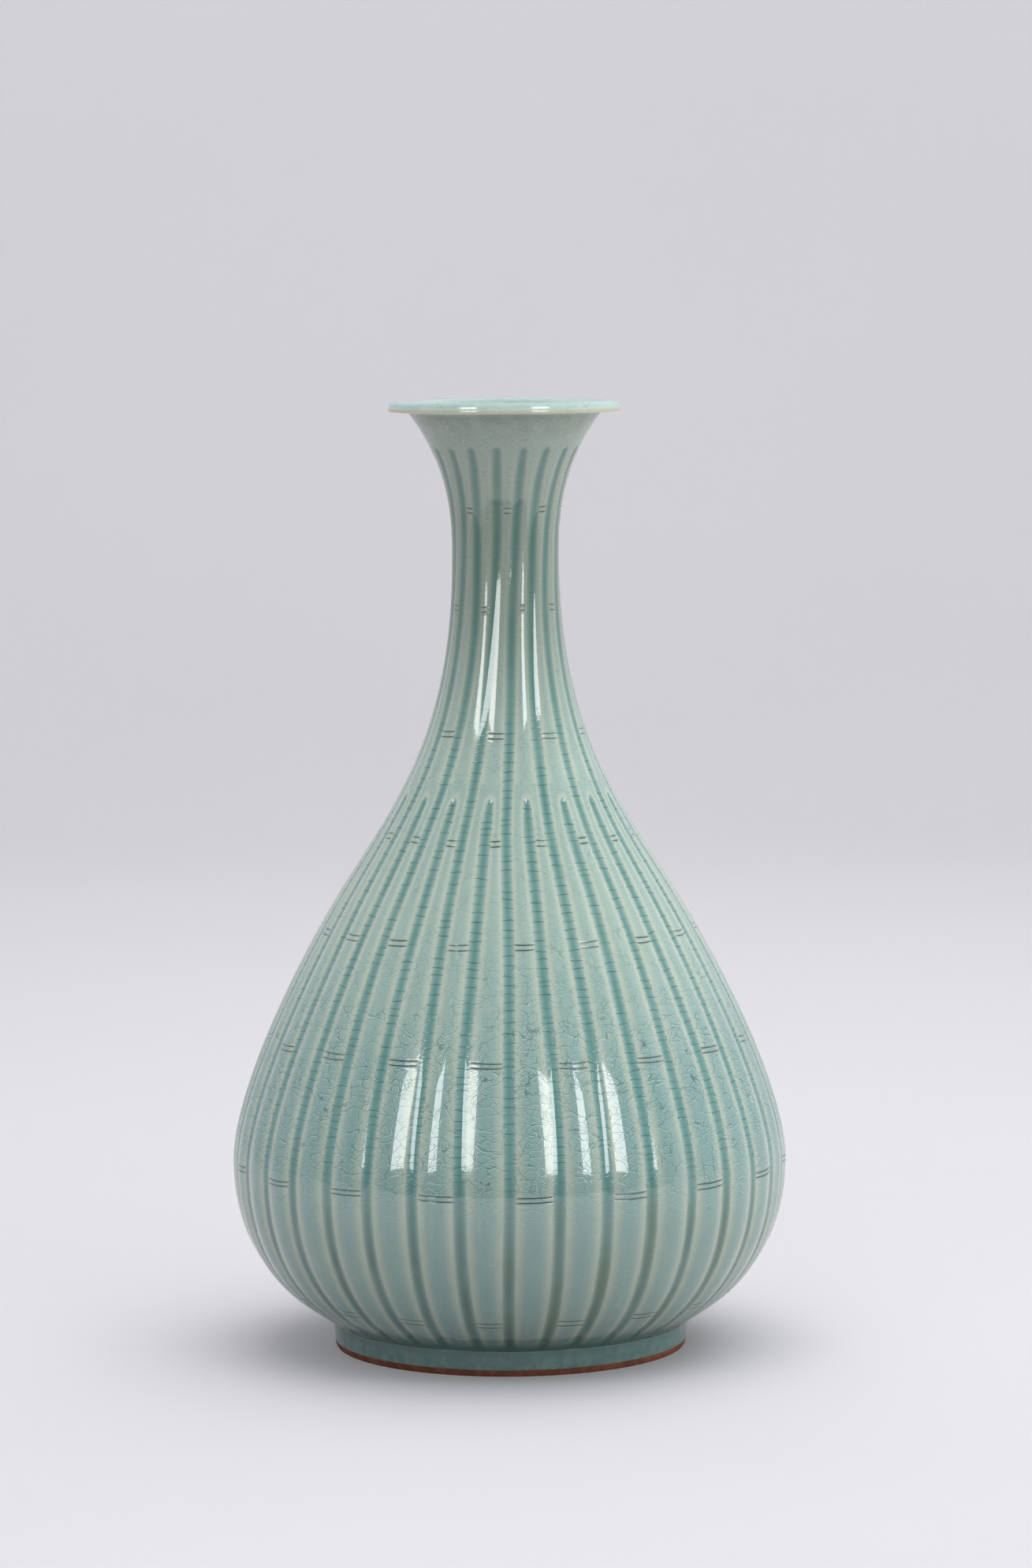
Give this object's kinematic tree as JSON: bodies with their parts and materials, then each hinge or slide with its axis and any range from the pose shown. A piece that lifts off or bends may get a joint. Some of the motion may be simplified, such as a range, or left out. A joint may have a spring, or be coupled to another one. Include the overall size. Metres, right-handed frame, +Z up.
{
  "type": "pear-shaped vase",
  "caption": "Pear-shaped bottle vase of crackled celadon, carved with bamboo-stalk flutes, with a slender neck, flared everted lip and low foot ring, to hold stems or stand as an ornament.",
  "frame": {"origin": "centre of the foot ring's resting face", "axes": "+Z up along the axis of the vase, -Y towards the front that the picture shows, +X to the right"},
  "size_m": [0.216, 0.216, 0.37],
  "materials": {
    "celadon_glaze": "glossy crackled blue-green celadon glaze, cream on the rib edges and teal where it pools in the grooves",
    "foot_glaze": "glossy celadon glaze, wiped off along the lower edge, where the bare clay fired reddish brown",
    "luting_slip": "matt fired slip, hidden in the seams"
  },
  "bodies": {
    "root": {"foot_ring": "foot_glaze", "lower_body": "celadon_glaze", "upper_body": "celadon_glaze", "neck": "celadon_glaze", "mouth": "celadon_glaze", "foot_seam_slip": "luting_slip", "belly_seam_slip": "luting_slip", "shoulder_seam_slip": "luting_slip", "mouth_seam_slip": "luting_slip"}
  },
  "joints": []
}
